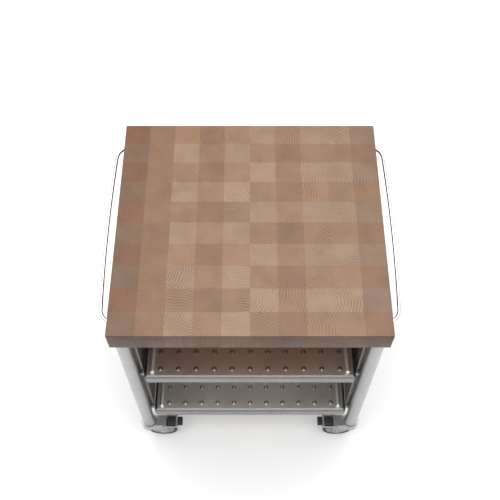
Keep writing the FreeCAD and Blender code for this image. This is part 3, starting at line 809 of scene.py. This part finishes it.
def pad_half(bm, low, high):
    """One half of the foot pad, with ribs across its top."""
    face = high.z - PAD_RIB
    rounded_block(bm, low, (high.x, high.y, face), PAD_ROUND, 4)
    count = int((high.x - low.x - 2 * PAD_ROUND) / PAD_RIB_PITCH) + 1
    for index in range(count):
        x = (low.x + high.x) / 2 + (index - (count - 1) / 2) * PAD_RIB_PITCH
        rounded_block(bm, (x - PAD_RIB_HALF, low.y + PAD_MARGIN, face - PAD_RIB),
                      (x + PAD_RIB_HALF, high.y - PAD_MARGIN, high.z), PAD_RIB / 2, 2)


def brake_pad(corner):
    """Foot pad in two ribbed halves, joined by a low bridge under the lever's strip."""
    low, high = [Vector(value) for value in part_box("brake_pad_" + corner)]
    lever_low, lever_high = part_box("brake_lever_" + corner)
    strip_start = lever_high[0] - STRIP_WIDTH if "left" in corner else lever_low[0]
    strip_end = strip_start + STRIP_WIDTH
    bridge_top = high.z - STRIP_SHEET - STRIP_GAP
    bm = bmesh.new()
    for start, end in ((low.x, strip_start), (strip_end, high.x)):
        pad_half(bm, Vector((start, low.y, low.z)), Vector((end, high.y, high.z)))
    rounded_block(bm, (strip_start - PAD_ROUND, low.y + PAD_ROUND, low.z),
                  (strip_end + PAD_ROUND, high.y - PAD_ROUND, bridge_top), BRIDGE_ROUND, 2)
    new_piece("foot_pad_" + corner, bm, PAD_PLASTIC, "brake_" + corner, ["brake_pad_" + corner])


# ---------------------------------------------------------------- carried-over nodes
def finish_node(node, material):
    """Gives a CAD node a detailed material."""
    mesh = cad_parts[node].data
    mesh.materials.clear()
    mesh.materials.append(material)


CARRIED_OVER = {
    "caster_stem_": CASTER_STEEL,
    "caster_yoke_": CASTER_STEEL,
    "wheel_axle_": SCREW_STEEL,
    "axle_nut_": SCREW_STEEL,
    "brake_lever_": CASTER_STEEL,
    "leg_plate_": LEG_STEEL,
}

butcher_block()
for shelf_node in ("upper_shelf", "lower_shelf"):
    shelf(shelf_node)
    finish_node(shelf_node + "_spacers", LEG_STEEL)
    for side in SIDES:
        shelf_bead(shelf_node + "_bead_" + side)
for side in SIDES:
    handle(side)
    finish_node("side_panel_" + side, PANEL_STEEL)
finish_node("handle_rosettes", POLISHED)
finish_node("top_screws", SCREW_STEEL)
for corner in CORNERS:
    leg(corner)
    leg_cup(corner)
    tyre(corner)
    hub(corner)
    brake_pad(corner)
    for prefix, material in CARRIED_OVER.items():
        finish_node(prefix + corner, material)


# ---------------------------------------------------------------- floor, light and camera
FLOOR_HALF = 40.0
SURROUND_STRENGTH = 0.86
SOFTBOX_PLACE = (0.0, 0.1, 4.2)
SOFTBOX_TARGET = (0.0, 0.0, 0.6)
SOFTBOX_SIZE = 5.0
SOFTBOX_POWER = 155


def stage():
    """Pale floor, wide enough for every view."""
    bm = bmesh.new()
    bmesh.ops.create_grid(bm, x_segments=1, y_segments=1, size=FLOOR_HALF)
    mesh = bpy.data.meshes.new("studio_floor")
    bm.to_mesh(mesh)
    bm.free()
    floor = bpy.data.objects.new("studio_floor", mesh)
    bpy.context.scene.collection.objects.link(floor)
    mesh.materials.append(floor_material())


def soft_light(name, place, target, size, power):
    """Square area light aimed at a point."""
    data = bpy.data.lights.new(name, "AREA")
    data.size = size
    data.energy = power
    lamp = bpy.data.objects.new(name, data)
    lamp.location = place
    lamp.rotation_euler = (Vector(target) - Vector(place)).to_track_quat("-Z", "Y").to_euler()
    bpy.context.scene.collection.objects.link(lamp)


def light():
    """White studio surroundings with a large overhead softbox."""
    world = bpy.data.worlds.new("studio")
    world.use_nodes = True
    background = world.node_tree.nodes["Background"]
    background.inputs["Color"].default_value = (1, 1, 1, 1)
    background.inputs["Strength"].default_value = SURROUND_STRENGTH
    bpy.context.scene.world = world
    soft_light("overhead", SOFTBOX_PLACE, SOFTBOX_TARGET, SOFTBOX_SIZE, SOFTBOX_POWER)


CAMERA_AHEAD = 0.831      # camera, in front of the block's front edge
CAMERA_ABOVE = 1.863      # and above its top face
CAMERA_DOWN = 59.6        # degrees below level
CAMERA_LENS = 55.8
CAMERA_SENSOR = 36.0


def camera():
    """High view from straight in front."""
    low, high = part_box("butcher_block_top")
    data = bpy.data.cameras.new("camera")
    data.lens = CAMERA_LENS
    data.sensor_width = CAMERA_SENSOR
    eye = bpy.data.objects.new("camera", data)
    eye.location = ((low[0] + high[0]) / 2, low[1] - CAMERA_AHEAD, high[2] + CAMERA_ABOVE)
    eye.rotation_euler = (math.radians(90.0 - CAMERA_DOWN), 0.0, 0.0)
    bpy.context.scene.collection.objects.link(eye)
    bpy.context.scene.camera = eye


stage()
light()
camera()
bpy.context.scene.view_settings.view_transform = "Standard"
